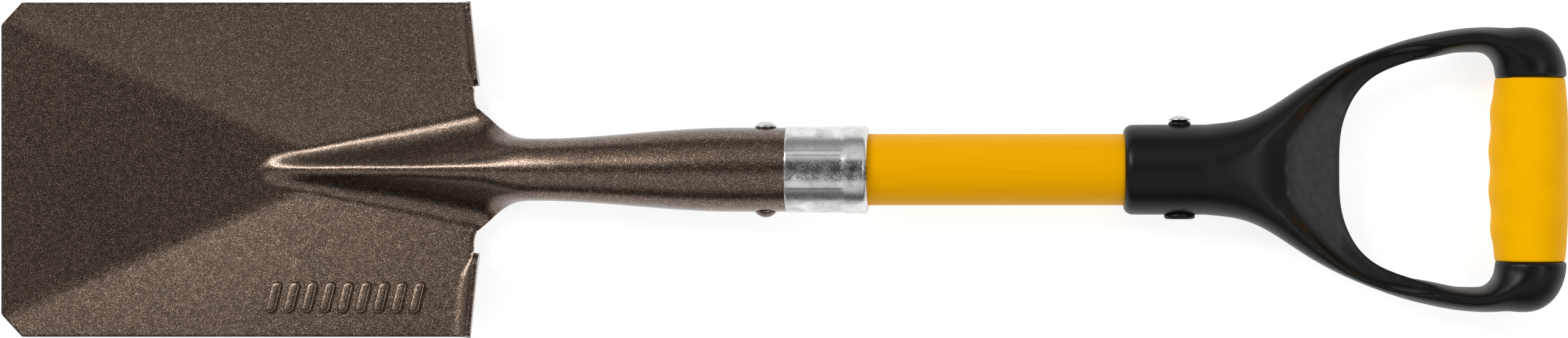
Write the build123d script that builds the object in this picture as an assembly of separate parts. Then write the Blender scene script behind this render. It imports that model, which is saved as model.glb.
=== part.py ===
"""Compact square-mouth shovel: pressed head, riveted tube shaft and D-shaped hand grip.

The shovel lies on its back on Z = 0, with the blade's hollow facing up (+Z).
+X runs along the shaft, from the cutting edge to the hand grip, and the shovel is
symmetric about Y = 0 but for its rivet ends. The origin is the centre of its footprint.
Lengths are in millimetres. "u" is a distance from the cutting edge along +X.
"""
import os

from build123d import *

os.makedirs("parts", exist_ok=True)

# ---- overall
overall_length = 691.5
neck_radius = 19.7                 # outside of the grip's neck, which rests on the ground
axis_z = neck_radius               # height of the shaft's axis
tip_x = -overall_length / 2
beyond = 30.0                      # how far cutting bodies reach past what they cut

# ---- blade
blade_width = 148.0                # at the cutting edge
rear_width = 146.6                 # at the treads
blade_length = 213.5               # cutting edge to the back of the treads at their outer ends
sheet = 2.0
corner_chamfer = 9.8
crease_apex = 152.0                # u where the two creases of the flat front facet meet
dish_slope = 0.13                  # rise of the side facets per millimetre across

# ---- treads and the relief notches beside them
tread_height = 12.0
tread_inner_y = 35.3
tread_slant = 2.6                  # how much further back the inner end of a tread stands
tread_corner = 4.0
notch_y = 31.3
notch_radius = 4.0
rear_foot_y = 27.2                 # half width of the sheet between the notches

# ---- frog, the raised spine between the pan and the socket
frog_start = 117.0
frog_end = 242.5
frog_foot_start = 3.6              # half widths of the frog at its foot
frog_foot_rear = 22.4
frog_foot_end = 9.0
frog_steps = 6
leg_depth = 4.0                    # how far its construction body reaches below Z = 0

# ---- socket
throat_radius = 13.6
mouth_radius = 18.4
throat_u = 240.5
parallel_u = 318.5
socket_start = 228.5
socket_end = 372.5

# ---- ferrule
ferrule_start = 349.8
ferrule_end = 385.7
ferrule_wall = 0.8
ferrule_round = 3.0

# ---- shaft and what is inside it
shaft_radius = 15.6
shaft_bore = 12.6
shaft_start = 318.5
shaft_end = 554.5
bush_end = 382.5
plug_length = 50.0
plug_inset = 2.0

# ---- rivets
rivet_radius = 2.5
socket_rivet_u = 340.7
grip_rivet_u = 521.5
rivet_head_radius = 4.8
rivet_tail_radius = 3.9
washer_thickness = 0.7
socket_rivet_reach = 20.9          # distance of each end's top from the shaft axis
grip_rivet_reach = 23.7

# ---- hand grip
grip_mouth = 496.7
neck_end = 532.5
mouth_round = 4.0
crossbar_u = 674.9
crossbar_radius = 15.6
core_radius = 11.5
grip_width = 124.8
cup_round = 10.0
web_half_thickness = 4.0
hole_corner = 6.0
boss_top = 21.7                    # distance of each boss's top from the shaft axis
open_boss_radius = 4.9
closed_boss_radius = 6.75
recess_radius = 4.4
recess_floor = 20.0

# ---- sleeve on the crossbar
sleeve_length = 80.0
sleeve_end_radius = 15.1
sleeve_middle_radius = 17.2
sleeve_u = overall_length - sleeve_middle_radius

shaft_axis = Axis((tip_x, 0, axis_z), (1, 0, 0))


def at(u, y=0.0, z=0.0):
    """Point of the row frame at distance u from the cutting edge."""
    return Vector(tip_x + u, y, z)


def turned(profile):
    """Solid of revolution about the shaft axis; profile lists (u, radius) corners."""
    return revolve(Face(Wire.make_polygon([at(u, 0, axis_z + r) for u, r in profile])), shaft_axis)


def tube(start, end, outer, inner=0.0):
    return turned([(start, inner), (end, inner), (end, outer), (start, outer)])


def across(u, side=1, start=0.0):
    """Plane that faces the +Y or -Y side, at distance start from the shaft axis."""
    return Plane(origin=at(u, side * start, axis_z), x_dir=(1, 0, 0), z_dir=(0, side, 0))


def cross_rod(u, radius, side, start, end):
    """Rod that points to the +Y or -Y side, between two distances from the shaft axis."""
    return extrude(across(u, side, start) * Circle(radius), end - start)


def cross_dome(u, radius, side, start, end, rise):
    """Rod whose outer end is a dome that rises by rise."""
    ball = (radius * radius + rise * rise) / (2 * rise)
    return cross_rod(u, radius, side, start, end) & across(u, side, end - ball) * Sphere(ball)


def both_sides(piece):
    return piece + mirror(piece, Plane.XZ)


def both_faces(piece):
    return piece + mirror(piece, Plane.XY.offset(axis_z))


# ---------------------------------------------------------------- blade

half_width = blade_width / 2
rear_half_width = rear_width / 2
crease_start_y = half_width - corner_chamfer


def pan_z(u, y):
    """Underside of the pan: a flat front facet and two side facets that rise from its creases."""
    crease_y = crease_start_y * (1 - u / crease_apex)
    return max(0.0, dish_slope * (abs(y) - crease_y))


def facet(corners, thickness):
    """Body of one flat facet of the pan, over its underside, or below it if thickness is negative."""
    wire = Wire.make_polygon([at(u, y, pan_z(u, y)) for u, y in corners])
    return extrude(Face(wire), thickness, dir=(0, 0, 1))


def pan_body(thickness, rear_corners):
    """The pan's three facets; rear_corners close the side facet's outline down to the middle line."""
    front = facet([(0, -crease_start_y), (0, crease_start_y), (crease_apex, 0)], thickness)
    side = facet([(0, crease_start_y), (corner_chamfer, half_width), *rear_corners, (crease_apex, 0)], thickness)
    return front + both_sides(side)


def frog_foot(u):
    """Half width of the frog at its foot."""
    if u <= blade_length:
        share = (u - frog_start) / (blade_length - frog_start)
        return frog_foot_start + (frog_foot_rear - frog_foot_start) * share
    share = (u - blade_length) / (frog_end - blade_length)
    return frog_foot_rear + (frog_foot_end - frog_foot_rear) * share


def frog_crown(u):
    """Height of the frog's crown, which climbs straight from the pan to the socket's throat."""
    share = (u - frog_start) / (frog_end - frog_start)
    return sheet + (axis_z + throat_radius - sheet) * share


def frog_section(u, inset):
    """Closed profile across the blade: a bell-shaped arch on legs that reach below the pan."""
    half = frog_foot(u) - inset
    crown = frog_crown(u) - inset
    foot_z = pan_z(u, frog_foot(u)) + sheet - inset
    shoulder = foot_z + 0.62 * (crown - foot_z)
    arch = Spline(
        at(u, -half, foot_z),
        at(u, -0.55 * half, shoulder),
        at(u, 0, crown),
        at(u, 0.55 * half, shoulder),
        at(u, half, foot_z),
        tangents=((0, 0.5, 0.8), (0, 0.5, -0.8)),
    )
    legs = Polyline(arch @ 1, at(u, half, -leg_depth), at(u, -half, -leg_depth), arch @ 0)
    return Wire([arch, *legs.edges()])


def frog_body(first_u, last_u, inset):
    stations = [first_u + (last_u - first_u) * step / frog_steps for step in range(frog_steps + 1)]
    return Solid.make_loft([frog_section(u, inset) for u in stations], ruled=True)


def socket_body(inset, overrun):
    """The socket's tapered tube as a solid, inset from its outer face and longer by overrun at each end."""
    start_z = axis_z + throat_radius - inset
    mouth_z = axis_z + mouth_radius - inset
    taper = Spline(at(throat_u, 0, start_z), at(parallel_u, 0, mouth_z), tangents=((1, 0, 0), (1, 0, 0)))
    rest = Polyline(
        taper @ 1,
        at(socket_end + overrun, 0, mouth_z),
        at(socket_end + overrun, 0, axis_z),
        at(socket_start - overrun, 0, axis_z),
        at(socket_start - overrun, 0, start_z),
        taper @ 0,
    )
    return revolve(make_face([taper, rest]), shaft_axis)


def rear_u(y):
    """Back of the sheet's rear edge, which slants so that the treads' inner ends stand further back."""
    share = (rear_half_width - y) / (rear_half_width - tread_inner_y)
    return blade_length + tread_slant * min(1.0, share)


def tread():
    """Upright plate folded up from the rear of the left side facet."""
    rise = sheet + tread_height
    inner, outer = (rear_u(tread_inner_y) - sheet, tread_inner_y), (blade_length - sheet, rear_half_width)
    plate = Face(Wire.make_polygon([
        at(*inner, pan_z(*inner)), at(*outer, pan_z(*outer)),
        at(*outer, pan_z(*outer) + rise), at(*inner, pan_z(*inner) + rise),
    ]))
    plate = extrude(plate, sheet, dir=(1, 0, 0))
    upper_corners = plate.edges().filter_by(Axis.X).sort_by(Axis.Z)
    inner = upper_corners.group_by(Axis.Y)[0].sort_by(Axis.Z)[-1]
    outer = upper_corners.group_by(Axis.Y)[-1].sort_by(Axis.Z)[-1]
    return fillet([inner, outer], tread_corner)


def blade():
    pan = pan_body(sheet, [
        (rear_u(rear_half_width), rear_half_width), (rear_u(tread_inner_y), tread_inner_y),
        (rear_u(rear_foot_y), rear_foot_y), (226.5, 16.5), (frog_end, frog_foot_end), (frog_end, 0),
    ])
    below_pan = pan_body(-beyond, [(frog_end + 1, half_width), (frog_end + 1, 0)])
    head = pan + frog_body(frog_start, frog_end, 0.0)
    head = head - frog_body(frog_start + 9, frog_end - 12, sheet) - below_pan
    head = head + socket_body(0.0, 0.0) - socket_body(sheet, 1.0)
    notch = Pos(at(rear_u(notch_y) - sheet, notch_y)) * Cylinder(notch_radius, 2 * beyond)
    head = head - both_sides(notch) + both_sides(tread())
    return head - cross_rod(socket_rivet_u, rivet_radius, 1, -beyond, beyond)


# ---------------------------------------------------------------- ferrule, shaft and what is inside it

def ferrule():
    outer = mouth_radius + ferrule_wall
    lip = ferrule_end - ferrule_wall
    body = turned([
        (ferrule_start, mouth_radius), (lip, mouth_radius), (lip, shaft_radius),
        (ferrule_end, shaft_radius), (ferrule_end, outer), (ferrule_start, outer),
    ])
    rim = body.edges().filter_by(GeomType.CIRCLE).group_by(Axis.X)[-1].sort_by(SortBy.RADIUS)[-1]
    return fillet(rim, ferrule_round)


def shaft():
    body = tube(shaft_start, shaft_end, shaft_radius, shaft_bore)
    for u in (socket_rivet_u, grip_rivet_u):
        body = body - cross_rod(u, rivet_radius, 1, -beyond, beyond)
    return body


def socket_bush():
    """Thin sleeve between shaft and socket, with a collar that fills the ferrule's nose."""
    inner_socket = mouth_radius - sheet
    body = turned([
        (parallel_u, shaft_radius), (bush_end, shaft_radius), (bush_end, mouth_radius),
        (socket_end, mouth_radius), (socket_end, inner_socket), (parallel_u, inner_socket),
    ])
    return body - cross_rod(socket_rivet_u, rivet_radius, 1, -beyond, beyond)


def plug(start, rivet_u):
    body = tube(start, start + plug_length, shaft_bore)
    return body - cross_rod(rivet_u, rivet_radius, 1, -beyond, beyond)


# ---------------------------------------------------------------- rivets and washers

socket_round = tube(socket_start, socket_end, mouth_radius)
socket_washer_top = mouth_radius + washer_thickness
recess_washer_top = recess_floor + washer_thickness


def socket_rivet():
    """Domed head on the -Y side and formed tail on the +Y side, both seated on the round socket."""
    u = socket_rivet_u
    head = cross_dome(u, rivet_head_radius, -1, 0, socket_rivet_reach, 1.9) - socket_round
    tail = cross_dome(u, rivet_tail_radius, 1, socket_washer_top, socket_rivet_reach, 1.4)
    return head + cross_rod(u, rivet_radius, 1, -mouth_radius, socket_washer_top) + tail


def socket_rivet_washer():
    ring = cross_rod(socket_rivet_u, rivet_head_radius, 1, 0, socket_washer_top) - socket_round
    return ring - cross_rod(socket_rivet_u, rivet_radius, 1, 0, beyond)


def grip_rivet():
    """Domed head on the open boss on the +Y side and a small tail in the closed boss's recess."""
    u = grip_rivet_u
    head = cross_dome(u, rivet_head_radius, 1, boss_top, grip_rivet_reach, 1.7)
    tail = cross_dome(u, rivet_tail_radius - 0.4, -1, recess_washer_top, boss_top, 0.7)
    return head + cross_rod(u, rivet_radius, 1, -recess_washer_top, boss_top) + tail


def grip_rivet_washer():
    ring = cross_rod(grip_rivet_u, recess_radius - 0.3, -1, recess_floor, recess_washer_top)
    return ring - cross_rod(grip_rivet_u, rivet_radius, -1, 0, beyond)


# ---------------------------------------------------------------- hand grip

def paddle():
    """Body of the neck, arms and web before the hand hole is cut: rounded oblong sections."""
    sections = [                   # u, half width, half height, corner radius
        (532.5, 19.65, 19.65, 19.6),
        (546.5, 21.4, 18.7, 17.5),
        (558.5, 25.8, 17.0, 14.5),
        (572.5, 34.6, 14.4, 11.5),
        (588.5, 44.1, 12.4, 9.5),
        (608.5, 52.7, 11.2, 8.5),
        (634.5, 59.6, 11.0, 8.5),
        (662.5, 62.2, 11.6, 8.5),
    ]
    faces = []
    for u, half_y, half_z, corner in sections:
        place = Plane(origin=at(u, 0, axis_z), x_dir=(0, 1, 0), z_dir=(1, 0, 0))
        faces.append(place * RectangleRounded(2 * half_y, 2 * half_z, corner))
    return loft(faces)


def plan_cut(flank_points, tangents, right_u, corner, z_low, z_high):
    """Upright cutting body: a curved left end through flank_points and a straight right end."""
    flank = Spline(*[at(u, y, 0) for u, y in flank_points], tangents=tangents)
    last_u, last_y = flank_points[-1]
    if corner > 0:
        bend = TangentArc(flank @ 1, at(right_u, last_y - corner, 0), tangent=flank % 1)
        rest = Polyline(bend @ 1, at(right_u, 0, 0), flank @ 0)
        plan = make_face([flank, bend, rest])
    else:
        plan = make_face([flank, Polyline(flank @ 1, at(right_u, last_y, 0), at(right_u, 0, 0), flank @ 0)])
    return Pos(0, 0, z_low) * extrude(both_sides(plan), z_high - z_low, dir=(0, 0, 1))


def grip_frame():
    neck = tube(grip_mouth, neck_end, neck_radius)
    mouth = neck.edges().filter_by(GeomType.CIRCLE).sort_by(Axis.X)[0]
    neck = fillet(mouth, mouth_round)

    hole_points = [(591.1, 0), (592.5, 19.2), (597.8, 31.9), (607.9, 41.5), (624.4, 47.9), (653.5, 51.3)]
    hand_hole = plan_cut(hole_points, ((0, 1, 0), (1, 0, 0)), 659.5, hole_corner, -beyond, 2 * beyond + axis_z)
    rim_points = [(567.2, 0), (569.0, 14.0), (580.5, 28.5), (600.7, 45.8), (630.5, 52.9), (657.5, 55.6)]
    above_web = plan_cut(rim_points, ((0, 1, 0), (1, 0, 0)), 658.5, 0, axis_z + web_half_thickness, axis_z + beyond)

    cups = both_sides(Pos(at(crossbar_u, 0, axis_z)) * Rot(-90, 0, 0) * Pos(0, 0, sleeve_length / 2)
                      * Cylinder(crossbar_radius, (grip_width - sleeve_length) / 2,
                                 align=(Align.CENTER, Align.CENTER, Align.MIN)))
    ends = cups.edges().filter_by(GeomType.CIRCLE).sort_by(Axis.Y)
    cups = fillet([ends[0], ends[-1]], cup_round)
    core = cross_rod(crossbar_u, core_radius, 1, -sleeve_length / 2, sleeve_length / 2)

    sleeve_room = cross_rod(crossbar_u, sleeve_middle_radius + 2, 1, -sleeve_length / 2, sleeve_length / 2)
    frame = paddle() - hand_hole - both_faces(above_web) - sleeve_room + neck + cups + core
    frame = frame + cross_rod(grip_rivet_u, open_boss_radius, 1, shaft_radius, boss_top)
    frame = frame + cross_rod(grip_rivet_u, closed_boss_radius, -1, shaft_radius, boss_top)
    frame = frame - cross_rod(grip_rivet_u, recess_radius, -1, recess_floor, beyond)
    frame = frame - cross_rod(grip_rivet_u, rivet_radius, 1, -beyond, beyond)
    return frame - tube(grip_mouth - 1, shaft_end, shaft_radius)


def grip_sleeve():
    """Barrel-shaped sleeve on the crossbar's core."""
    end = sleeve_length / 2
    crown = ThreePointArc(
        at(sleeve_u + sleeve_end_radius, -end, axis_z),
        at(sleeve_u + sleeve_middle_radius, 0, axis_z),
        at(sleeve_u + sleeve_end_radius, end, axis_z),
    )
    rest = Polyline(crown @ 1, at(sleeve_u, end, axis_z), at(sleeve_u, -end, axis_z), crown @ 0)
    barrel = revolve(make_face([crown, rest]), Axis(at(sleeve_u, 0, axis_z), (0, 1, 0)))
    return barrel - cross_rod(crossbar_u, core_radius, 1, -sleeve_length, sleeve_length)


pieces = {
    "blade": blade(),
    "ferrule": ferrule(),
    "socket_bush": socket_bush(),
    "shaft": shaft(),
    "socket_plug": plug(shaft_start + plug_inset, socket_rivet_u),
    "grip_plug": plug(shaft_end - plug_inset - plug_length, grip_rivet_u),
    "socket_rivet": socket_rivet(),
    "socket_rivet_washer": socket_rivet_washer(),
    "grip_rivet": grip_rivet(),
    "grip_rivet_washer": grip_rivet_washer(),
    "grip_frame": grip_frame(),
    "grip_sleeve": grip_sleeve(),
}
for name, piece in pieces.items():
    export_step(piece, f"parts/{name}.step")
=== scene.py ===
import math

import bpy
import numpy as np
from mathutils import Matrix, Vector


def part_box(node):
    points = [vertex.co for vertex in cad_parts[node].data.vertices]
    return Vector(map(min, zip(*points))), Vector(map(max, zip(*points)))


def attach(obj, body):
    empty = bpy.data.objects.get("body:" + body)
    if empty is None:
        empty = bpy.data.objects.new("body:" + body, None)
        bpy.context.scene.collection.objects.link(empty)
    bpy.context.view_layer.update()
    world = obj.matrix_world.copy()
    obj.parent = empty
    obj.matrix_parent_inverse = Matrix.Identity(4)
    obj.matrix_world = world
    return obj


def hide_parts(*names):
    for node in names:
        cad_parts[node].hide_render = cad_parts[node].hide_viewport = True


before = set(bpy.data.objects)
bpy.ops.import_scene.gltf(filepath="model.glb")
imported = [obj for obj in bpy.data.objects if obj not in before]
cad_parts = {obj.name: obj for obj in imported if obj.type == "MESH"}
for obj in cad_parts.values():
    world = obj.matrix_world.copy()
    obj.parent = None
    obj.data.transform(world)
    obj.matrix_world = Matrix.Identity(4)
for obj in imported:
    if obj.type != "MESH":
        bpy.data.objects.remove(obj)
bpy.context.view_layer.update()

# Lengths below are in millimetres. "u" is a distance from the cutting edge along +X. Every
# piece is built in the part's own frame, so that its object sits at the origin.
MM = 0.001


def node_box(node):
    """Lowest and highest corner of a CAD node, in millimetres."""
    low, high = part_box(node)
    return np.array(low) / MM, np.array(high) / MM


# ---- places that come from the frame
head_low, head_high = node_box("blade")
ferrule_low, ferrule_high = node_box("ferrule")
shaft_low, shaft_high = node_box("shaft")
sleeve_low, sleeve_high = node_box("grip_sleeve")
socket_rivet_low, socket_rivet_high = node_box("socket_rivet")
grip_rivet_low, grip_rivet_high = node_box("grip_rivet")

tip_x = head_low[0]
axis_z = (shaft_low[2] + shaft_high[2]) / 2
half_width = head_high[1]
socket_end = head_high[0] - tip_x
mouth_radius = head_high[2] - axis_z
ferrule_start = ferrule_low[0] - tip_x
ferrule_end = ferrule_high[0] - tip_x
ferrule_radius = ferrule_high[1]
shaft_radius = shaft_high[1]
sleeve_half = sleeve_high[1]
sleeve_outer_u = sleeve_high[0] - tip_x
socket_rivet_x = (socket_rivet_low[0] + socket_rivet_high[0]) / 2
grip_rivet_x = (grip_rivet_low[0] + grip_rivet_high[0]) / 2

# ---- blade
sheet = 2.0
rear_half_width = 73.3
tread_u = 212.4                    # back of the treads at their outer ends
corner_chamfer = 9.8
square_u = 20.0                    # behind it the sheet's rows run straight across
crease_y = half_width - corner_chamfer
crease_apex = 152.0                # u where the two creases of the front facet meet
crease_blend = 4.0
dish_slope = 0.13                  # rise of the side facets per millimetre across
tread_height = 12.0
tread_inner_y = 36.9
tread_slant = 2.8                  # how much further back the inner end of a tread stands
tread_corner = 4.0
tread_lean = math.radians(5.0)     # how far the treads lean back from upright
fold_radii = (2.4, 7.6)            # at the treads' inner ends, and further out
fold_widening = 12.0               # width over which the one grows into the other
notch_y = 32.9                     # middle of the notch beside each tread
notch_radius = 4.0
notch_depth = 1.5
notch_power = 2.5                  # how square the notch's plan is
notch_undercut = 2.3               # how much further the notch runs in beside the treads' folds
notch_setback = 2.9                # from the back of the treads to the notch's ends
rear_foot_y = 27.2                 # half width of the sheet between the notches
rows_end = 199.5                   # last u that all columns of the sheet share
stub_rows = 6                      # rows of every column from there to the fold or the wrap
edge_round = 0.35

# ---- frog and socket
frog_start = 115.7                 # where the crown leaves the pan
frog_nose = 114.5                  # where the frog's plan begins
frog_foot = 26.6                   # half width of its foot at the treads
nose_share = 0.235                 # half width of its foot behind the nose, over frog_foot
foot_growth = 0.775                # what the foot gains from there to the treads, over frog_foot
nose_radius = 6.0
flank_power = 2.2                  # how hollow the flanks are
frog_slope = 0.24688               # climb of the crown per millimetre
frog_blend = 0.8
crown_blend = 4.0                  # between the crown's climb and the socket's top
crest_radius = 5.0                 # of the rounded crown near the nose
crest_growth = 7.5                 # what it gains from crest_grows_from to wrap_end
crest_grows_from = 176.0
throat_radius = 13.6
throat_u = 240.5
parallel_u = 326.0                 # behind it the socket's radius stays the same
wrap_start = 212.0                 # the open sheet starts to curl round
wrap_end = 239.0                   # the section is part of a circle
seam_from = 234.0                  # the sheet's edges start to close on each other
seam_u = 252.0                     # they have met under the socket
seam_gap = 0.35

# Half width of the sheet behind the notches, measured round the section, over that at wrap_start.
edge_us = [212.0, 216.0, 221.5, 228.5, 234.0, 240.0, seam_u, 400.0]
edge_shares = [1.015, 0.94, 0.85, 0.745, 0.70, 0.72, 1.0, 1.0]

# ---- plain raised bars on the lower side facet
bar_count = 9
bar_first_u = 122.5
bar_last_u = 186.5
bar_y = -56.3
bar_radius = 2.6
bar_half = 4.5                     # from a bar's middle to the centre of its round ends
bar_slant = 0.22

# ---- ferrule
die_pitch = 45.0                   # degrees between the flats that the crimping dies leave
ferrule_lip = 2.3

# ---- grip: plan of the line where the web meets the neck and the rims, as u and y
web_line = np.array([
    (567.2, -1.0), (567.4, 6.0), (569.0, 14.0), (580.5, 28.5), (600.7, 45.8), (630.5, 52.9), (657.5, 55.6),
])


def smooth_step(x, start, end):
    """0 up to start, 1 from end on, and a smooth rise between them."""
    share = np.clip((x - start) / (end - start), 0.0, 1.0)
    return share * share * (3 - 2 * share)


def soft_ramp(x, blend):
    """max(0, x) with its corner rounded over +-blend."""
    return np.where(x <= -blend, 0.0, np.where(x >= blend, x, (x + blend) ** 2 / (4 * blend)))


def soft_max(a, b, blend):
    """The larger of the two, with the corner where they cross rounded over blend."""
    near = np.clip(blend - np.abs(a - b), 0.0, None) / blend
    return np.maximum(a, b) + near * near * blend / 4


# ---------------------------------------------------------------- mesh helpers

def mesh_object(name, points, faces):
    """New object from points in millimetres and faces."""
    mesh = bpy.data.meshes.new(name)
    mesh.from_pydata((np.asarray(points, float) * MM).tolist(), [], faces)
    mesh.shade_smooth()
    piece = bpy.data.objects.new(name, mesh)
    bpy.context.scene.collection.objects.link(piece)
    return piece


def modify(piece, kind, **settings):
    """Adds a modifier with these settings."""
    modifier = piece.modifiers.new(kind.lower(), kind)
    for key, value in settings.items():
        setattr(modifier, key, value)


def bake_modifiers(piece):
    """Replaces the piece's mesh by what its modifiers make of it."""
    graph = bpy.context.evaluated_depsgraph_get()
    made = bpy.data.meshes.new_from_object(piece.evaluated_get(graph))
    piece.modifiers.clear()
    piece.data = made


def grid_faces(rows, columns, wrap_rows=False):
    """Faces of a grid of points whose rows are closed rings; the last row can join the first."""
    row_count = rows if wrap_rows else rows - 1
    faces = []
    for r in range(row_count):
        for c in range(columns):
            below = (r + 1) % rows * columns
            beside = (c + 1) % columns
            faces.append((r * columns + c, r * columns + beside, below + beside, below + c))
    return faces


def arc(centre, radius, start, end, steps):
    """Points of an arc in a profile's plane; angles in degrees."""
    angles = np.radians(np.linspace(start, end, steps))
    return [(centre[0] + radius * math.cos(a), centre[1] + radius * math.sin(a)) for a in angles]


def lathe(name, origin, axis, profile, steps=64):
    """Turns a profile of (distance along the axis, radius), which starts and ends on the axis."""
    direction = Vector(axis)
    side = direction.orthogonal().normalized()
    other = direction.cross(side)
    points = []
    for along, radius in profile:
        for step in range(steps):
            angle = 2 * math.pi * step / steps
            spoke = side * math.cos(angle) + other * math.sin(angle)
            points.append(Vector(origin) + direction * along + spoke * radius)
    piece = mesh_object(name, points, grid_faces(len(profile), steps))
    modify(piece, "WELD", merge_threshold=0.01 * MM)
    bake_modifiers(piece)
    return piece


def show(piece, material, slot, *nodes):
    """Gives the piece its material, and lets it ride and stand for its CAD nodes."""
    piece.data.materials.clear()
    piece.data.materials.append(material)
    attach(piece, "root")
    if nodes:
        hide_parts(*nodes)


# ---------------------------------------------------------------- head

def pan_height(u, y):
    """Upper face of the pan: a flat front facet and two side facets."""
    return sheet + dish_slope * soft_ramp(np.abs(y) - crease_y * (1 - u / crease_apex), crease_blend)


def socket_radius(u):
    """Outside radius of the socket, from the throat to its parallel mouth."""
    return throat_radius + (mouth_radius - throat_radius) * smooth_step(u, throat_u, parallel_u)


def crown_height(u):
    """Height of the frog's crown, which climbs straight and then runs into the socket's top."""
    climb = sheet + frog_slope * (u - frog_start)
    return -soft_max(-climb, -(axis_z + socket_radius(u)), crown_blend)


def frog_half(u):
    """Half width of the frog at its foot: a round nose, then straight flanks."""
    share = (u - frog_nose) / (tread_u - frog_nose)
    nose = 1 - np.clip((u - frog_nose) / nose_radius, 0.0, 1.0)
    return frog_foot * (nose_share + foot_growth * share) * np.sqrt(np.clip(1 - nose ** 2, 0.01, 1.0))


def upper_face(u, y):
    """Height of the head's upper face before it wraps round to become the socket."""
    half = frog_half(u)
    crest = crest_radius + crest_growth * smooth_step(u, crest_grows_from, wrap_end)
    beside_crest = np.sqrt(y ** 2 + crest ** 2) - crest
    foot_beside_crest = np.sqrt(half ** 2 + crest ** 2) - crest
    down = np.clip(beside_crest / foot_beside_crest, 0.0, 1.0)
    rise = soft_ramp(crown_height(u) - pan_height(u, 0.0), frog_blend)
    return pan_height(u, y) + rise * (1 - down) ** flank_power


def rear_u(y):
    """Back of the treads, which slant back towards their inner ends."""
    share = np.clip((rear_half_width - np.abs(y)) / (rear_half_width - tread_inner_y), 0.0, 1.0)
    return tread_u + tread_slant * share


def half_section(u):
    """Half profile of the wrapping section at u: arc length, y and z from the crown downwards."""
    widest, bell_count, count = 60.0, 1200, 400
    reach = np.linspace(0.0, widest, bell_count)
    heights = upper_face(u, reach)
    run = np.concatenate([[0.0], np.cumsum(np.hypot(np.diff(reach), np.diff(heights)))])
    slopes = np.gradient(heights, reach)
    radius = float(socket_radius(u))
    lengths = np.linspace(0.0, math.pi * throat_radius * 1.5, count)
    bell = np.interp(lengths, run, np.arctan(slopes))
    circle = -lengths / radius
    share = float(smooth_step(u, wrap_start, wrap_end))
    angles = (1 - share) * bell + share * circle
    middles = (angles[1:] + angles[:-1]) / 2
    steps = np.diff(lengths)
    ys = np.concatenate([[0.0], np.cumsum(np.cos(middles) * steps)])
    zs = float(upper_face(u, 0.0)) + np.concatenate([[0.0], np.cumsum(np.sin(middles) * steps)])
    return lengths, ys, zs


def section_edge(u, start_length):
    """Arc length from the crown to the sheet's edge at u."""
    closed = math.pi * float(socket_radius(u)) - seam_gap
    if u >= seam_u:
        return closed
    share = float(np.interp(u, edge_us, edge_shares))
    blend = float(smooth_step(u, seam_from, seam_u))
    return start_length * share * (1 - blend) + closed * blend


def head_columns():
    """Distances of the sheet's columns from the middle line, on one side."""
    inner = np.linspace(0.0, rear_foot_y, 37)
    notch = np.linspace(rear_foot_y, tread_inner_y, 13)[1:]
    tread = np.linspace(tread_inner_y, half_width, 33)[1:]
    return np.concatenate([inner, notch, tread])


def sheet_point(row, column):
    """Point of the pan on a row and a column, fitted to the chamfers and to the sides' taper."""
    start = max(0.0, abs(column) - crease_y)
    u = start + row * (square_u - start) / square_u if row < square_u else row
    y = column * (1 - (1 - rear_half_width / half_width) * u / tread_u)
    return u, y


def tread_path(column):
    """Points of one column past the shared rows: up the fold and over the height of the tread."""
    u0, y = sheet_point(rows_end, column)
    bend = math.pi / 2 - tread_lean
    widening = float(smooth_step(abs(column), tread_inner_y, tread_inner_y + fold_widening))
    fold_radius = fold_radii[0] + (fold_radii[1] - fold_radii[0]) * widening
    fold_end = fold_radius * math.sin(bend)
    fold_rise = fold_radius * (1 - math.cos(bend))
    fold_u = float(rear_u(y)) - sheet - fold_end - (tread_height - fold_rise) * math.tan(tread_lean)
    base = float(upper_face(fold_u, y))
    points = [(u, y, float(upper_face(u, y))) for u in np.linspace(u0, fold_u, stub_rows + 1)[1:]]
    for angle in np.linspace(0, bend, 13)[1:]:
        rise = fold_radius * (1 - math.cos(angle))
        points.append((fold_u + fold_radius * math.sin(angle), y, base + rise))
    inset = min(abs(y) - tread_inner_y, rear_half_width - abs(y), tread_corner)
    from_centre = tread_corner - max(inset, 0.0)
    corner = tread_corner - math.sqrt(max(0.0, tread_corner ** 2 - from_centre ** 2))
    top = base + tread_height - corner
    for z in np.linspace(base + fold_rise, top, 8)[1:]:
        points.append((fold_u + fold_end + (z - base - fold_rise) * math.tan(tread_lean), y, z))
    return points


def notch_path(column):
    """Points of one column past the shared rows, up to the edge of the notch beside a tread."""
    u0, y = sheet_point(rows_end, column)
    span = notch_radius if abs(column) > notch_y else notch_y - rear_foot_y
    reach = (abs(column) - notch_y) / span
    depth = notch_depth * (1 - min(1.0, abs(reach)) ** notch_power)
    if reach > 0:
        depth += notch_undercut * reach ** 4
    end = float(rear_u(y)) - notch_setback - depth
    return [(u, y, float(upper_face(u, y))) for u in np.linspace(u0, end, stub_rows + 1)[1:]]


def socket_path(column, sections, start_ys, start_lengths, start_length):
    """Points of one column past the shared rows: along the frog and round into the socket."""
    side = 1 if column >= 0 else -1
    points = []
    for u in np.linspace(rows_end, wrap_start, stub_rows + 1)[1:]:
        y = sheet_point(u, column)[1]
        points.append((u, y, float(upper_face(u, y))))
    start_y = sheet_point(wrap_start, column)[1]
    share = float(np.interp(abs(start_y), start_ys, start_lengths)) / start_length
    for u, lengths, ys, zs, edge in sections:
        y = side * float(np.interp(share * edge, lengths, ys))
        z = float(np.interp(share * edge, lengths, zs))
        points.append((u, y, z))
    return points


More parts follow.
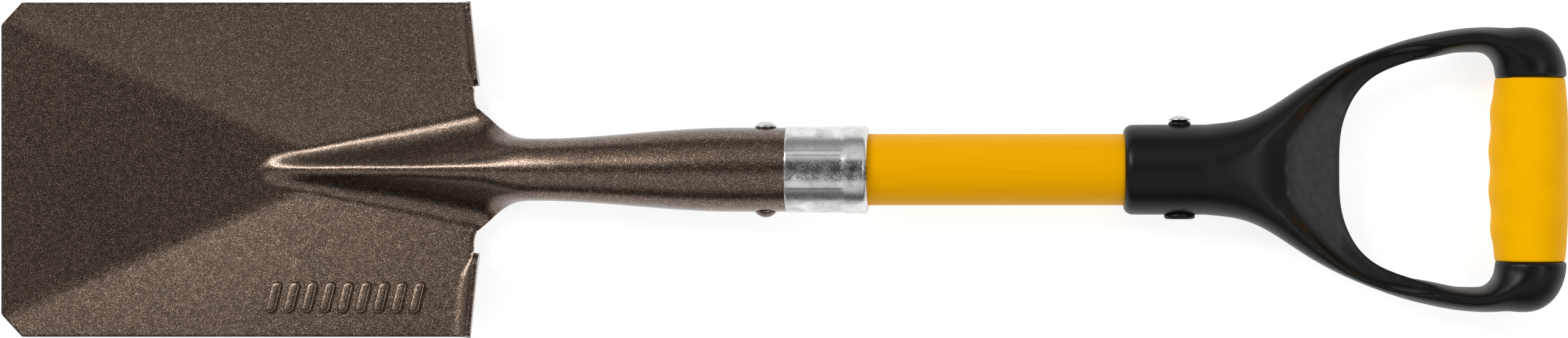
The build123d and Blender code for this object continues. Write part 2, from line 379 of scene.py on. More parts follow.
def build_head():
    """The blade, its treads and the socket as one bent sheet, 2 mm thick."""
    half = head_columns()
    columns = np.concatenate([-half[:0:-1], half])
    front_rows = np.linspace(0, 104, 53)
    frog_rows = np.arange(105.0, rows_end + 0.1, 1.5)
    rows = np.concatenate([front_rows, frog_rows])
    throat_rows = np.linspace(wrap_start, 256, 38)[1:]
    socket_rows = np.linspace(256, socket_end, 60)[1:]
    wrap = np.concatenate([throat_rows, socket_rows])
    foot_y = sheet_point(wrap_start, rear_foot_y)[1]
    start_lengths, start_ys, _ = half_section(wrap_start)
    start_length = float(np.interp(foot_y, start_ys, start_lengths))
    sections = [(u, *half_section(u), section_edge(u, start_length)) for u in wrap]

    points, index = [], {}
    for c, column in enumerate(columns):
        path = [sheet_point(row, column) for row in rows]
        path = [(u, y, float(upper_face(u, y))) for u, y in path]
        if abs(column) <= rear_foot_y + 1e-6:
            path += socket_path(column, sections, start_ys, start_lengths, start_length)
        elif abs(column) < tread_inner_y - 1e-6:
            path += notch_path(column)
        else:
            path += tread_path(column)
        for r, (u, y, z) in enumerate(path):
            index[c, r] = len(points)
            points.append((tip_x + u, y, z))

    faces = []
    for (c, r), corner in index.items():
        ring = [corner, index.get((c, r + 1)), index.get((c + 1, r + 1)), index.get((c + 1, r))]
        if None not in ring:
            faces.append(ring)
    head = mesh_object("head", points, faces)
    modify(head, "SOLIDIFY", thickness=sheet * MM, offset=-1.0, use_even_offset=True)
    modify(head, "BEVEL", width=edge_round * MM, segments=2, limit_method="ANGLE",
           angle_limit=math.radians(50))
    return head


def build_mark():
    """Nine plain raised bars pressed up in the lower side facet."""
    profile = [                        # inset from the bar's outline, rise above the pan
        (0.0, -0.2), (0.06, 0.5), (0.22, 1.0), (0.6, 1.38), (1.2, 1.5), (2.0, 1.52),
    ]
    steps = 24
    points, faces = [], []
    for middle in np.linspace(bar_first_u, bar_last_u, bar_count):
        start = len(points)
        for inset, rise in profile:
            for step in range(steps):
                angle = 2 * math.pi * step / steps
                end = math.copysign(bar_half, math.sin(angle + 1e-6))
                across = (bar_radius - inset) * math.cos(angle)
                along = (bar_radius - inset) * math.sin(angle) + end
                u = middle + across + bar_slant * along
                y = bar_y + along
                points.append((tip_x + u, y, float(pan_height(u, y)) + rise))
        rings = grid_faces(len(profile), steps)
        faces += [tuple(start + i for i in face) for face in rings]
        top = start + (len(profile) - 1) * steps
        faces.append(tuple(range(top, top + steps)))
    return mesh_object("blade_mark", points, faces)


# ---------------------------------------------------------------- ferrule

def crimp(u, angle):
    """How much the crimping dies press the ferrule in, at an angle in degrees from the top."""
    panel_half, panel_edge, crown_reach = 18.6, 20.8, 20.0      # in degrees
    ring_depth, panel_depth, panel_crown = 0.10, 0.36, 0.26     # in millimetres
    die_from, die_to = ferrule_end - 10.2, ferrule_end - 8.2
    panel_from, panel_to = ferrule_end - 12.0, ferrule_end - 9.4
    from_panel = (angle + die_pitch / 2) % die_pitch - die_pitch / 2
    panel = 1 - smooth_step(np.abs(from_panel), panel_half, panel_edge)
    in_die = 1 - smooth_step(u, die_from, die_to)
    in_panel = 1 - smooth_step(u, panel_from, panel_to)
    pressed_panel = panel_depth - panel_crown * (from_panel / crown_reach) ** 2
    return in_die * ring_depth + in_panel * panel * pressed_panel


def ferrule_profile(outer, inner):
    """Closed profile as u and radius: a plain barrel, a turned-in lip and the bore."""
    lip_u = ferrule_end - ferrule_lip
    bore = shaft_radius + 0.05
    profile = [(ferrule_start, inner + 0.1), (ferrule_start, outer - 0.4)]
    profile += [(ferrule_start + 0.25, outer - 0.1)]
    profile += [(u, outer) for u in np.linspace(ferrule_start + 0.7, lip_u - 0.6, 64)]
    profile += arc((lip_u, outer - ferrule_lip), ferrule_lip, 90, 4, 14)
    profile += [(ferrule_end - 0.1, bore + 0.2), (ferrule_end - 0.5, bore), (ferrule_end - 1.2, bore)]
    return profile + [(ferrule_end - 1.2, inner), (socket_end, inner)]


def build_ferrule():
    """Crimped ring with eight die flats, a plain band and a turned-in lip."""
    outer, inner = ferrule_radius, mouth_radius + 0.02
    profile = ferrule_profile(outer, inner)
    steps = 288
    points = []
    for u, radius in profile:
        for step in range(steps):
            degrees = 360.0 * step / steps
            pressed = radius - float(crimp(u, degrees)) * (radius > inner + 0.15)
            angle = math.radians(degrees)
            points.append((tip_x + u, pressed * math.sin(angle), axis_z + pressed * math.cos(angle)))
    return mesh_object("ferrule_shell", points, grid_faces(len(profile), steps, True))


# ---------------------------------------------------------------- rivets

def dome(start, end, radius, edge, steps=10):
    """Profile of a domed rivet head whose rim is edge thick; it ends on the axis."""
    rise = end - start - edge
    ball = (radius * radius + rise * rise) / (2 * rise)
    reach = math.degrees(math.asin(radius / ball))
    cap = arc((end - ball, 0.0), ball, reach, 0.0, steps)
    return [(start, 0.0), (start, radius - 0.15), (start + 0.1, radius), (start + edge, radius)] + cap[1:]


def build_turned(name, rivet_x, side, profile):
    """Piece turned about a cross rivet's axis, on its +Y or -Y side."""
    return lathe(name, (rivet_x, 0.0, axis_z), (0, side, 0), profile)


def flared_tail(seat, reach):
    """Profile of the washer and of the hollow flared end that stands on it."""
    profile = [(seat, 0.0), (seat, 3.6), (seat + 0.9, 4.5), (seat + 1.2, 4.75), (seat + 1.6, 4.75)]
    profile += [(seat + 1.9, 4.5), (reach - 0.75, 3.5), (reach - 0.25, 2.5), (reach, 1.7)]
    return profile + [(reach - 0.25, 1.3), (reach - 0.3, 0.0)]


# The bosses stand out of the neck. The open one ends flush under the rivet's head, and the
# closed one has a recess for its tail.
open_boss = [(17.0, 0.0), (17.0, 4.6), (19.0, 4.7), (19.4, 4.9), (20.2, 4.9), (20.8, 4.6)]
open_boss += [(21.1, 4.0), (21.3, 3.4), (21.7, 3.2), (21.7, 0.0)]
closed_boss = [(17.0, 0.0), (17.0, 6.3), (19.2, 6.3), (19.7, 6.75), (20.8, 6.75), (21.3, 6.4)]
closed_boss += [(21.6, 5.6), (21.6, 4.7), (21.3, 4.4), (20.4, 4.3), (20.3, 0.0)]


# ---------------------------------------------------------------- grip

def smooth_line(points, steps=8):
    """Catmull-Rom curve through the points."""
    padded = np.vstack([2 * points[0] - points[1], points, 2 * points[-1] - points[-2]])
    curve = []
    for a, b, c, d in zip(padded[:-3], padded[1:-2], padded[2:-1], padded[3:]):
        square = 2 * a - 5 * b + 4 * c - d
        cube = 3 * (b - c) + d - a
        for t in np.arange(steps) / steps:
            curve.append(b + 0.5 * t * (c - a + t * (square + t * cube)))
    return np.array(curve + [points[-1]])


def inside_web(points):
    """Distance of the points' plan from the web's outline, positive on the web's side of it."""
    points = np.column_stack([points[:, 0] - tip_x, np.abs(points[:, 1])])
    line = smooth_line(web_line)
    best = np.full(len(points), 1e9)
    inside = np.zeros(len(points))
    for start, end in zip(line[:-1], line[1:]):
        way = end - start
        share = np.clip((points - start) @ way / (way @ way), 0.0, 1.0)
        away = points - (start + share[:, None] * way)
        distance = np.hypot(away[:, 0], away[:, 1])
        side = way[1] * away[:, 0] - way[0] * away[:, 1]
        nearer = distance < best
        best = np.where(nearer, distance, best)
        inside = np.where(nearer, np.sign(side), inside)
    return best * inside


def sculpt_web(points):
    """Lets the neck run down into the web, and tilts the web towards the hand hole."""
    u = points[:, 0] - tip_x
    y = np.abs(points[:, 1])
    lift = points[:, 2] - axis_z
    height = np.abs(lift)
    inner = inside_web(points)
    web_start = web_line[0][0]
    edge_height, tilt_height, tilt_length, cup_height = 4.0, 8.0, 25.0, 14.0
    near_neck = 1 - smooth_step(y, 14.0, 46.0)
    near_cup = smooth_step(u, 618.0, 650.0) * smooth_step(y, 30.0, 40.0)
    tilt = near_neck * tilt_height * np.clip(1 - (u - web_start) / tilt_length, 0.0, 1.0)
    web = edge_height + tilt + cup_height * near_cup

    neck_slope, arm_slope, limit_blend = 0.5, 2.6, 2.0
    rim_width, core_height = 1.5, 3.0
    slope = neck_slope * near_neck + arm_slope * (1 - near_neck)
    limit = web + slope * np.clip(-inner, 0.0, None)
    lowered = -soft_max(-height, -limit, limit_blend)
    on_slope = (inner > -rim_width) & (height < limit) & (near_cup == 0)
    outside = np.where(height > core_height, np.where(on_slope, limit, lowered), height)

    cad_web = 4.6                      # the CAD web's half thickness is below this
    neck_run = 16.0                    # how far onto the neck the web's thinning reaches
    thin = (height < cad_web) & (near_cup == 0)
    inside = np.where(thin, height * web / edge_height, np.minimum(height, web))
    in_frame = (u > web_start - neck_run) & (u < sleeve_low[0] - tip_x - 2.0)
    sculpted = np.where(inner > 0, inside, outside)
    points[:, 2] = axis_z + np.sign(lift) * np.where(in_frame, sculpted, height)


def open_hole_corner(points):
    """Pushes what stands in the rounded corner of the hand hole out to its edge."""
    corner_u, corner_y, power, core = 642.0, 39.0, 2.7, 0.2
    to_bar, bar_half_width, bar_half_height = 33.0, 15.3, 16.6
    to_arm, arm_half_width, arm_half_height = 17.0, 5.2, 13.6
    lift = np.abs(points[:, 2] - axis_z)
    reach_u = to_bar - bar_half_width * np.sqrt(np.clip(1 - (lift / bar_half_height) ** 2, 0.0, 1.0))
    reach_y = to_arm - arm_half_width * np.sqrt(np.clip(1 - (lift / arm_half_height) ** 2, 0.0, 1.0))
    du = np.clip((points[:, 0] - tip_x - corner_u) / reach_u, 0.0, None)
    dy = np.clip((np.abs(points[:, 1]) - corner_y) / reach_y, 0.0, None)
    away = (du ** power + dy ** power) ** (1 / power)
    stray = (du > 0) & (away < 1) & (away > core)
    push = np.where(stray, 1 / np.maximum(away, core), 1.0)
    pushed_y = np.sign(points[:, 1]) * (corner_y + dy * push * reach_y)
    points[:, 0] = np.where(stray, tip_x + corner_u + du * push * reach_u, points[:, 0])
    points[:, 1] = np.where(stray, pushed_y, points[:, 1])


def round_cup(points):
    """Rounds the outer corner of each cup: nothing stands outside an ellipsoid about its middle."""
    centre_u, centre_y, power = 672.0, 40.0, 2.1
    reach_u, reach_y, reach_z = 18.4, 22.4, 17.4
    run_in = 24.0                      # the rounding grows over this length of the arm
    du = np.clip((points[:, 0] - tip_x - centre_u) / reach_u, 0.0, None)
    dy = np.clip((np.abs(points[:, 1]) - centre_y) / reach_y, 0.0, None)
    dz = (points[:, 2] - axis_z) / reach_z
    away = (du ** power + dy ** power + np.abs(dz) ** power) ** (1 / power)
    stray = (points[:, 0] - tip_x > centre_u - run_in) & (dy > 0) & (away > 1)
    share = smooth_step(points[:, 0] - tip_x, centre_u - run_in, centre_u)
    pull = np.where(stray, 1 + (1 / np.maximum(away, 1.0) - 1) * share, 1.0)
    pulled_y = np.sign(points[:, 1]) * (centre_y + dy * pull * reach_y)
    points[:, 0] = np.where(stray & (du > 0), tip_x + centre_u + du * pull * reach_u, points[:, 0])
    points[:, 1] = np.where(stray, pulled_y, points[:, 1])
    points[:, 2] = np.where(stray, axis_z + dz * pull * reach_z, points[:, 2])


def trim_bosses(points):
    """Takes the two rivet bosses off the neck: crisp turned ones stand there instead."""
    near = 12.0                        # the bosses stand within this distance of the rivet
    slice_half = 0.6                   # of the slices that measure the neck on both sides
    beside = [np.abs(points[:, 0] - grip_rivet_x - way * near) < slice_half for way in (-1, 1)]
    radii = [np.abs(points[here, 1]).max() for here in beside]
    neck = np.interp(points[:, 0], (grip_rivet_x - near, grip_rivet_x + near), radii)
    lift = points[:, 2] - axis_z
    radius = np.hypot(points[:, 1], lift)
    proud = (np.abs(points[:, 0] - grip_rivet_x) < near) & (radius > neck)
    pull = np.where(proud, neck / np.maximum(radius, 1.0), 1.0)
    points[:, 1] *= pull
    points[:, 2] = axis_z + lift * pull


def elbow_mesh(side):
    """Points and faces of the round elbow that fills each arm out into its cup."""
    knots = np.array([                 # u, y, half width in plan, half height
        (613.0, 50.0, 4.2, 11.0), (629.0, 53.6, 5.1, 12.5), (643.0, 56.3, 5.1, 13.6),
        (655.0, 56.7, 5.7, 14.6), (664.0, 53.6, 8.8, 15.6), (671.0, 49.4, 12.6, 16.2),
        (674.6, 45.0, 15.0, 16.4), (675.0, 42.6, 15.2, 16.5), (675.0, 40.6, 15.2, 16.5),
    ])
    path = smooth_line(knots)
    steps = 48
    ways = np.gradient(path[:, :2], axis=0)
    ways /= np.hypot(ways[:, 0], ways[:, 1])[:, None]
    points = []
    for (u, y, wide, high), (way_u, way_y) in zip(path, ways):
        for angle in np.linspace(0, 2 * math.pi, steps, endpoint=False):
            across = wide * math.cos(angle)
            x = tip_x + u - way_y * across
            points.append((x, side * (y + way_u * across), axis_z + high * math.sin(angle)))
    last = (len(path) - 1) * steps
    faces = grid_faces(len(path), steps)
    faces += [tuple(range(steps)), tuple(range(last, last + steps))]
    return points, faces


def merge_meshes(name, parts):
    """One object from several pairs of points and faces."""
    points, faces = [], []
    for part_points, part_faces in parts:
        start = len(points)
        points += [tuple(point) for point in part_points]
        faces += [tuple(start + corner for corner in face) for face in part_faces]
    return mesh_object(name, points, faces)


def vertex_array(piece):
    """The piece's points, in millimetres."""
    points = np.empty(len(piece.data.vertices) * 3)
    piece.data.vertices.foreach_get("co", points)
    return points.reshape(-1, 3) / MM


def melt_shares(points):
    """How far each point is smoothed: the cups, and the ridge along the web's outline."""
    u = points[:, 0] - tip_x
    y = np.abs(points[:, 1])
    lift = np.abs(points[:, 2] - axis_z)
    along = smooth_step(u, 640.0, 652.0) * (1 - smooth_step(u, 670.0, 680.0))
    cup = along * smooth_step(y, 42.0, 45.0)
    ridge_offset = 2.2                 # of the ridge's crest outside the web's outline
    beside_ridge = np.abs(inside_web(points) + ridge_offset)
    ridge = (1 - smooth_step(beside_ridge, 4.0, 7.0)) * smooth_step(lift, 1.0, 4.0)
    return np.maximum(cup, ridge * (0.3 + 0.6 * smooth_step(y, 30.0, 44.0)))


def remesh(piece, size):
    """Rebuilds the piece's mesh from voxels of this size."""
    modify(piece, "REMESH", mode="VOXEL", voxel_size=size * MM)
    bake_modifiers(piece)


def build_grip():
    """Moulded D frame: the CAD solid's form, with a dished web and its edges melted into fillets."""
    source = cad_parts["grip_frame"]
    solid = (vertex_array(source), [tuple(face.vertices) for face in source.data.polygons])
    piece = merge_meshes("grip_moulding", [solid, elbow_mesh(1), elbow_mesh(-1)])
    remesh(piece, 0.8)
    points = vertex_array(piece)
    sculpt_web(points)
    open_hole_corner(points)
    round_cup(points)
    trim_bosses(points)
    piece.data.vertices.foreach_set("co", (points * MM).ravel())
    remesh(piece, 0.75)

    shares = melt_shares(vertex_array(piece))
    group = piece.vertex_groups.new(name="melt")
    for index in np.nonzero(shares > 0.01)[0]:
        group.add([int(index)], float(shares[index]), "REPLACE")
    modify(piece, "SMOOTH", factor=0.5, iterations=60, vertex_group="melt")
    modify(piece, "SMOOTH", factor=0.5, iterations=10)
    bake_modifiers(piece)
    piece.data.shade_smooth()

    points = vertex_array(piece)
    # Painted sheen: for each point, how much lighter the material paints it, on the web and fading out
    # towards the arms.
    near_middle = 1 - smooth_step(np.abs(points[:, 1]), 14.0, 44.0)
    web_sheen_share = smooth_step(inside_web(points), -1.2, 1.6) * near_middle
    piece.data.attributes.new("web", "FLOAT", "POINT").data.foreach_set("value", web_sheen_share)
    return piece


def build_sleeve():
    """Soft barrel-shaped sleeve, with shallow finger waves on the side towards the blade."""
    end_radius, middle_radius, core_radius = 15.05, 17.0, 11.5
    wave_pitch, wave_rise, wave_middle = 17.6, 0.4, 8.2
    setback = 0.35                     # from the CAD sleeve's outer side
    end_shift = middle_radius - end_radius - 1.4
    edge = 0.8
    steps = 128
    ys = np.concatenate([
        -sleeve_half + edge * (1 - np.cos(np.linspace(0, math.pi / 2, 5))),
        np.linspace(-sleeve_half + edge, sleeve_half - edge, 90)[1:-1],
        sleeve_half - edge * (1 - np.cos(np.linspace(math.pi / 2, 0, 5))),
    ])
    rows = []
    for y in ys:
        share = y / sleeve_half
        radius = end_radius + (middle_radius - end_radius) * (1 - abs(share) ** 3)
        rim = max(0.0, edge - (sleeve_half - abs(y)))
        radius -= edge - math.sqrt(max(0.0, edge ** 2 - rim ** 2))
        middle = sleeve_outer_u - setback - middle_radius + end_shift * share ** 2
        rows.append((y, middle, radius))
    points = []
    for y, middle, radius in rows:
        for step in range(steps):
            angle = 2 * math.pi * step / steps
            facing = max(0.0, -math.cos(angle))
            strength = facing ** 3 * float(smooth_step(sleeve_half - abs(y), 2.0, 9.0))
            wave = wave_rise * math.cos(2 * math.pi * (y - wave_middle) / wave_pitch) * strength
            x = tip_x + middle + (radius + wave) * math.cos(angle)
            points.append((x, y, axis_z + (radius + wave) * math.sin(angle)))
    core_u = tip_x + rows[0][1]
    for y in (sleeve_half, -sleeve_half):
        for step in range(steps):
            angle = 2 * math.pi * step / steps
            x = core_u + core_radius * math.cos(angle)
            points.append((x, y, axis_z + core_radius * math.sin(angle)))
    faces = [face[::-1] for face in grid_faces(len(rows) + 2, steps, True)]
    return mesh_object("sleeve_skin", points, faces)


# ---------------------------------------------------------------- shader helpers

def add(tree, kind, inputs=None, **settings):
    """New shader node; an input that is a socket gets linked, and any other becomes the default."""
    node = tree.nodes.new("ShaderNode" + kind)
    for key, value in settings.items():
        setattr(node, key, value)
    for key, value in (inputs or {}).items():
        if isinstance(value, bpy.types.NodeSocket):
            tree.links.new(value, node.inputs[key])
        else:
            node.inputs[key].default_value = value
    return node


def new_material(name):
    """A material, its tree, its surface shader and the object's own coordinates."""
    material = bpy.data.materials.new(name)
    material.use_nodes = True
    tree = material.node_tree
    shader = tree.nodes["Principled BSDF"]
    place = add(tree, "TexCoord").outputs["Object"]
    return material, tree, shader, place


def noise(tree, place, scale, detail=2.0, distortion=0.0, stretch=None):
    """Noise with scale cells to the metre; a small stretch draws it out along that axis."""
    if stretch:
        place = add(tree, "Mapping", {"Vector": place, "Scale": stretch}).outputs[0]
    return add(tree, "TexNoise", {
        "Vector": place, "Scale": scale, "Detail": detail, "Distortion": distortion,
    }).outputs["Fac"]


def ramp(tree, source, stops):
    """Colour ramp through stops of position and colour."""
    node = add(tree, "ValToRGB", {"Fac": source})
    elements = node.color_ramp.elements
    while len(elements) < len(stops):
        elements.new(1.0)
    for element, (position, colour) in zip(elements, stops):
        element.position = position
        element.color = (*colour, 1.0)
    return node.outputs["Color"]


def fade(tree, source, low, high, to_low=0.0, to_high=1.0):
    """Maps low to high onto to_low to to_high, clamped."""
    return add(tree, "MapRange", {
        0: source, 1: low, 2: high, 3: to_low, 4: to_high,
    }, clamp=True).outputs[0]


def math_node(tree, operation, a, b):
    return add(tree, "Math", {0: a, 1: b}, operation=operation).outputs[0]


def blend_colours(tree, share, a, b, mode="MIX"):
    return add(tree, "Mix", {0: share, 6: a, 7: b}, data_type="RGBA", blend_type=mode).outputs[2]


def grey(value):
    return (value, value, value)


def bump(tree, height, strength, distance):
    inputs = {"Height": height, "Strength": strength, "Distance": distance}
    return add(tree, "Bump", inputs).outputs["Normal"]


def settle(tree, shader, **values):
    """Sets the shader's inputs; a socket is linked."""
    for key, value in values.items():
        socket = shader.inputs[key.replace("_", " ").title().replace("Ior", "IOR")]
        if isinstance(value, bpy.types.NodeSocket):
            tree.links.new(value, socket)
        else:
            socket.default_value = value


# ---------------------------------------------------------------- materials

def bronze_coat():
    """Hammered bronze powder coat: cloudy dark brown, sprinkled with fine lighter flecks."""
    material, tree, shader, place = new_material("hammered_bronze")
    specks = noise(tree, place, 2500.0, 2.0, 0.6)
    gate = fade(tree, noise(tree, place, 420.0, 2.0), 0.30, 0.60, 0.35, 1.0)
    flecks = math_node(tree, "MULTIPLY", fade(tree, specks, 0.50, 0.70), gate)
    grain = noise(tree, place, 2600.0, 2.0)
    clouds = noise(tree, place, 26.0, 3.0)
    dark = ramp(tree, grain, [(0.36, (0.030, 0.016, 0.011)), (0.64, (0.124, 0.079, 0.055))])
    shade = ramp(tree, clouds, [(0.3, (0.86, 0.84, 0.83)), (0.7, (1.12, 1.10, 1.09))])
    cloudy = blend_colours(tree, 1.0, dark, shade, "MULTIPLY")
    fleck_share = math_node(tree, "MULTIPLY", flecks, 0.9)
    colour = blend_colours(tree, fleck_share, cloudy, (0.54, 0.418, 0.318, 1.0))
    fleck_rough = math_node(tree, "MULTIPLY", flecks, 0.08)
    rough = math_node(tree, "ADD", fade(tree, grain, 0.3, 0.7, 0.22, 0.32), fleck_rough)
    pits = math_node(tree, "ADD", grain, math_node(tree, "MULTIPLY", flecks, 0.5))
    normal = bump(tree, pits, 0.14, 0.0001)
    settle(tree, shader, base_color=colour, metallic=1.0, roughness=rough, normal=normal,
           coat_weight=0.5, coat_roughness=0.24)
    return material


def zinc_plate(name, tone=1.0):
    """Cold zinc plate: frosty and slightly cloudy, with a patchy band of painted dark reflection along its
    middle.
    """
    material, tree, shader, place = new_material(name)
    clouds = noise(tree, place, 160.0, 4.0, 0.6)
    frost = noise(tree, place, 1500.0, 2.0)
    low, high = 0.50 * tone, 0.74 * tone
    plate = ramp(tree, clouds, [(0.30, (low, low, low * 0.97)), (0.65, (high, high, high * 0.985))])
    # Painted dark reflection: a near-black band where |Y| is small, on the strips that face straight up and
    # down, broken up by blotches.
    reflection_shift, reflection_inner, reflection_outer = 0.0005, 0.0036, 0.0054
    across = add(tree, "SeparateXYZ", {0: place}).outputs["Y"]
    aside = math_node(tree, "ABSOLUTE", math_node(tree, "ADD", across, reflection_shift), 0.0)
    blotches = math_node(tree, "ADD", noise(tree, place, 200.0, 3.0), noise(tree, place, 1300.0, 4.0))
    band = fade(tree, aside, reflection_inner, reflection_outer, 1.0, 0.0)
    painted_reflection = math_node(tree, "MULTIPLY", band, fade(tree, blotches, 0.80, 1.16, 0.15, 0.95))
    colour = blend_colours(tree, painted_reflection, plate, (0.10, 0.105, 0.11, 1.0))
    frosty = fade(tree, frost, 0.3, 0.7, 0.0, 0.10)
    rough = math_node(tree, "ADD", fade(tree, clouds, 0.3, 0.7, 0.28, 0.16), frosty)
    normal = bump(tree, frost, 0.22, 0.00008)
    settle(tree, shader, base_color=colour, metallic=1.0, roughness=rough, normal=normal)
    return material


def shaft_yellow():
    """Pultruded glass-fibre tube: satin yellow with fine streaks along its length."""
    material, tree, shader, place = new_material("pultruded_yellow")
    streaks = noise(tree, place, 900.0, 3.0, 0.0, (0.03, 1.0, 1.0))
    specks = noise(tree, place, 1400.0, 2.0)
    colour = ramp(tree, streaks, [(0.25, (0.83, 0.370, 0.0)), (0.75, (0.88, 0.405, 0.0))])
    height = math_node(tree, "ADD", streaks, math_node(tree, "MULTIPLY", specks, 0.4))
    normal = bump(tree, height, 0.16, 0.0001)
    rough = fade(tree, specks, 0.3, 0.7, 0.40, 0.52)
    settle(tree, shader, base_color=colour, roughness=rough, normal=normal, specular_ior_level=0.2,
           specular_tint=(1.0, 0.72, 0.0, 1.0))
    return material


def grip_black():
    """Moulded polypropylene: satin black with a very fine texture, and a painted sheen that makes the web
    greyer towards the middle.
    """
    material, tree, shader, place = new_material("moulded_black")
    leather = noise(tree, place, 1300.0, 3.0, 0.3)
    clouds = noise(tree, place, 60.0, 3.0)
    skin = ramp(tree, clouds, [(0.3, (0.0007, 0.0006, 0.0006)), (0.7, (0.0020, 0.0018, 0.0018))])
    # Painted sheen: where the web attribute says, the web is painted a lighter grey than the rest, mottled
    # by noise.
    web_sheen_mottle = noise(tree, place, 380.0, 5.0)
    web = ramp(tree, web_sheen_mottle, [(0.35, (0.026, 0.0255, 0.026)), (0.65, (0.037, 0.0364, 0.037))])
    web_sheen_share = add(tree, "Attribute", attribute_name="web").outputs["Fac"]
    colour = blend_colours(tree, web_sheen_share, skin, web)
    fine = fade(tree, leather, 0.3, 0.7, 0.0, 0.08)
    rough = math_node(tree, "ADD", fade(tree, clouds, 0.3, 0.7, 0.30, 0.38), fine)
    normal = bump(tree, leather, 0.18, 0.0001)
    settle(tree, shader, base_color=colour, roughness=rough, normal=normal, specular_ior_level=0.23)
    return material


def sleeve_yellow():
    """Soft-touch rubber: matte deep yellow, lightly mottled."""
    material, tree, shader, place = new_material("soft_yellow")
    mottle = noise(tree, place, 70.0, 4.0)
    skin = noise(tree, place, 1600.0, 2.0)
    colour = ramp(tree, mottle, [(0.3, (0.92, 0.432, 0.0)), (0.7, (0.98, 0.475, 0.0))])
    rough = fade(tree, skin, 0.3, 0.7, 0.50, 0.62)
    normal = bump(tree, skin, 0.15, 0.0001)
    settle(tree, shader, base_color=colour, roughness=rough, normal=normal, specular_ior_level=0.15,
           specular_tint=(1.0, 0.72, 0.0, 1.0))
    return material


def bush_black():
    """Turned black plastic."""
    material, tree, shader, place = new_material("bush_plastic")
    rings = noise(tree, place, 500.0, 2.0, 0.0, (1.0, 0.1, 0.1))
    colour = ramp(tree, rings, [(0.3, (0.010, 0.010, 0.011)), (0.7, (0.020, 0.020, 0.021))])
    rough = fade(tree, rings, 0.3, 0.7, 0.42, 0.55)
    settle(tree, shader, base_color=colour, roughness=rough, normal=bump(tree, rings, 0.2, 0.0001))
    return material


def plug_wood():
    """Pale wood with its grain along the shaft."""
    material, tree, shader, place = new_material("plug_wood")
    grain = noise(tree, place, 420.0, 4.0, 0.8, (0.06, 1.0, 1.0))
    colour = ramp(tree, grain, [(0.3, (0.42, 0.25, 0.12)), (0.7, (0.66, 0.45, 0.26))])
    rough = fade(tree, grain, 0.3, 0.7, 0.55, 0.75)
    settle(tree, shader, base_color=colour, roughness=rough, normal=bump(tree, grain, 0.3, 0.0002))
    return material


# ---------------------------------------------------------------- stage, light and camera

def build_floor():
    """Pale floor, brightest under the object."""
    size = 6000.0
    corners = [(-size, -size, 0), (size, -size, 0), (size, size, 0), (-size, size, 0)]
    floor = mesh_object("floor", corners, [(0, 1, 2, 3)])
    material, tree, shader, place = new_material("pale_floor")
    tint = ramp(tree, noise(tree, place, 3.0), [(0.3, grey(0.42)), (0.7, grey(0.44))])
    aside = math_node(tree, "ABSOLUTE", add(tree, "SeparateXYZ", {0: place}).outputs["Y"], 0.0)
    settle(tree, shader, base_color=tint, roughness=0.9, specular_ior_level=0.1,
           emission_color=(1, 1, 1, 1), emission_strength=fade(tree, aside, 0.12, 0.9, 0.76, 0.25))
    floor.data.materials.append(material)


def soft_box(name, lean_x, lean_y, spread_x, spread_y, radiance):
    """Softbox that stands lean degrees off the vertical towards +X and +Y, and is spread degrees across."""
    distance = 4000.0
    lamp = bpy.data.lights.new(name, "AREA")
    lamp.shape = "RECTANGLE"
    lamp.size = 2 * distance * math.tan(math.radians(spread_x / 2)) * MM
    lamp.size_y = 2 * distance * math.tan(math.radians(spread_y / 2)) * MM
    lamp.energy = radiance * math.pi * lamp.size * lamp.size_y
    lamp.color = (0.97, 1.0, 1.02)
    light = bpy.data.objects.new(name, lamp)
    way = Vector((math.tan(math.radians(lean_x)), math.tan(math.radians(lean_y)), 1.0)).normalized()
    across = Vector((0, 1, 0)).cross(way).normalized()
    axes = Matrix((across, way.cross(across), way)).transposed()
    light.matrix_world = Matrix.Translation(way * distance * MM) @ axes.to_4x4()
    bpy.context.scene.collection.objects.link(light)


def build_world():
    """Pale room with a dim gap overhead, between two long soft glows that run along X."""
    glow_at = [                        # degrees off the vertical towards +Y, radiance
        (-90, 0.01), (-82, 0.01), (-70, 0.08), (-62, 0.40), (-54, 0.80), (-40, 0.80),
        (-28, 0.86), (-15, 0.94), (-7, 0.15), (0, 0.05), (7, 0.07), (15, 0.15),
        (22, 0.40), (30, 0.88), (45, 0.82), (60, 0.64), (75, 0.30), (90, 0.10),
    ]
    world = bpy.data.worlds.new("studio")
    bpy.context.scene.world = world
    world.use_nodes = True
    tree = world.node_tree
    direction = add(tree, "TexCoord").outputs["Generated"]
    parts = add(tree, "SeparateXYZ", {0: direction}).outputs
    lean = math_node(tree, "ARCTAN2", parts["Y"], parts["Z"])
    share = fade(tree, lean, -math.pi / 2, math.pi / 2)
    stops = [(0.5 + degrees / 180.0, grey(glow)) for degrees, glow in glow_at]
    tree.links.new(ramp(tree, share, stops), tree.nodes["Background"].inputs["Color"])


def build_camera():
    """Camera that looks straight down from over the shaft; the shift brings the whole object in."""
    height = 1200.0                    # above the shaft's axis
    nadir_u, nadir_y = 441.5, 0.27     # the point that it looks straight down on
    view_width = 685.5                 # seen at the height of the axis
    lens = bpy.data.cameras.new("camera")
    lens.sensor_width = 36.0
    lens.lens = 36.0 * height / view_width
    lens.shift_x = -0.1355
    lens.clip_start = 0.05
    camera = bpy.data.objects.new("camera", lens)
    camera.location = ((tip_x + nadir_u) * MM, nadir_y * MM, (axis_z + height) * MM)
    bpy.context.scene.collection.objects.link(camera)
    bpy.context.scene.camera = camera


# ---------------------------------------------------------------- assembly

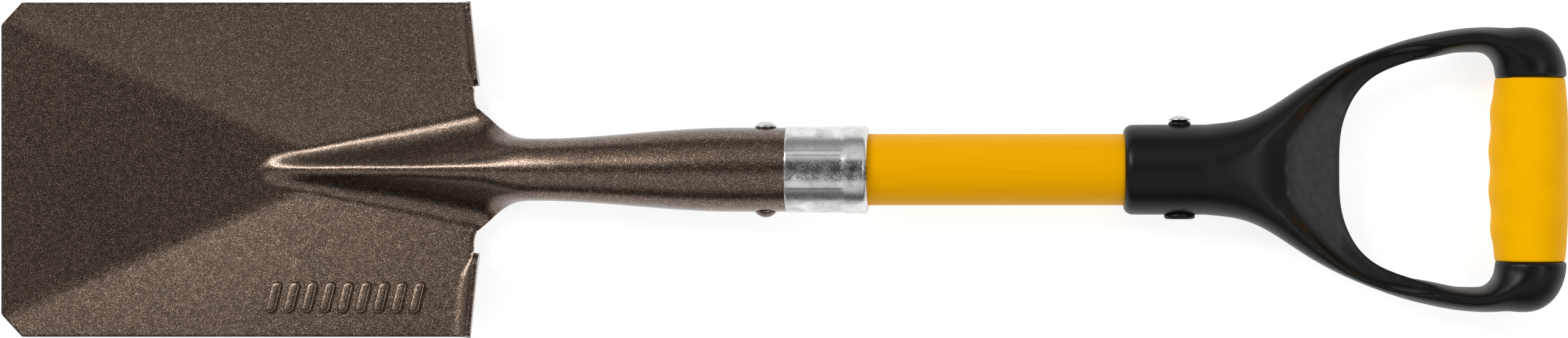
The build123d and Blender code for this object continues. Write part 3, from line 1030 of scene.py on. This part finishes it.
bronze = bronze_coat()
zinc = zinc_plate("zinc_plate")
steel = zinc_plate("rivet_steel", tone=0.9)
moulded = grip_black()

show(build_head(), bronze, "head_coating", "blade")
show(build_mark(), bronze, "head_coating")
show(build_ferrule(), zinc, "zinc", "ferrule")

seat = mouth_radius - 0.9              # where the rivet's ends sit on the socket
tail_profile = flared_tail(seat, socket_rivet_high[1])
head_profile = dome(seat, -socket_rivet_low[1], radius=4.7, edge=0.9)
show(build_turned("socket_rivet_tail", socket_rivet_x, 1, tail_profile), steel,
     "rivet_steel", "socket_rivet", "socket_rivet_washer")
show(build_turned("socket_rivet_head", socket_rivet_x, -1, head_profile), bronze,
     "head_coating", "socket_rivet")

show(build_grip(), moulded, "grip_black", "grip_frame")
show(build_sleeve(), sleeve_yellow(), "sleeve_yellow", "grip_sleeve")
show(build_turned("grip_boss_open", grip_rivet_x, 1, open_boss), moulded, "grip_black")
show(build_turned("grip_boss_closed", grip_rivet_x, -1, closed_boss), moulded, "grip_black")
grip_head = dome(grip_rivet_high[1] - 2.2, grip_rivet_high[1], radius=4.8, edge=0.5)
show(build_turned("grip_rivet_head", grip_rivet_x, 1, grip_head), steel, "rivet_steel", "grip_rivet")
grip_tail = dome(-grip_rivet_low[1] - 1.6, -grip_rivet_low[1], radius=3.6, edge=0.3)
show(build_turned("grip_rivet_tail", grip_rivet_x, -1, grip_tail), steel, "rivet_steel", "grip_rivet")

finishes = {
    "shaft": shaft_yellow(),
    "socket_bush": bush_black(),
    "socket_plug": plug_wood(),
    "grip_plug": plug_wood(),
    "grip_rivet_washer": zinc,
}
for node, finish in finishes.items():
    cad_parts[node].data.materials.clear()
    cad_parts[node].data.materials.append(finish)

build_floor()
build_world()
soft_box("key_softbox", lean_x=-42.0, lean_y=32.0, spread_x=30.0, spread_y=14.0, radiance=11.0)
soft_box("end_softbox", lean_x=29.0, lean_y=5.0, spread_x=20.0, spread_y=26.0, radiance=3.0)
build_camera()
bpy.context.scene.view_settings.view_transform = "Standard"
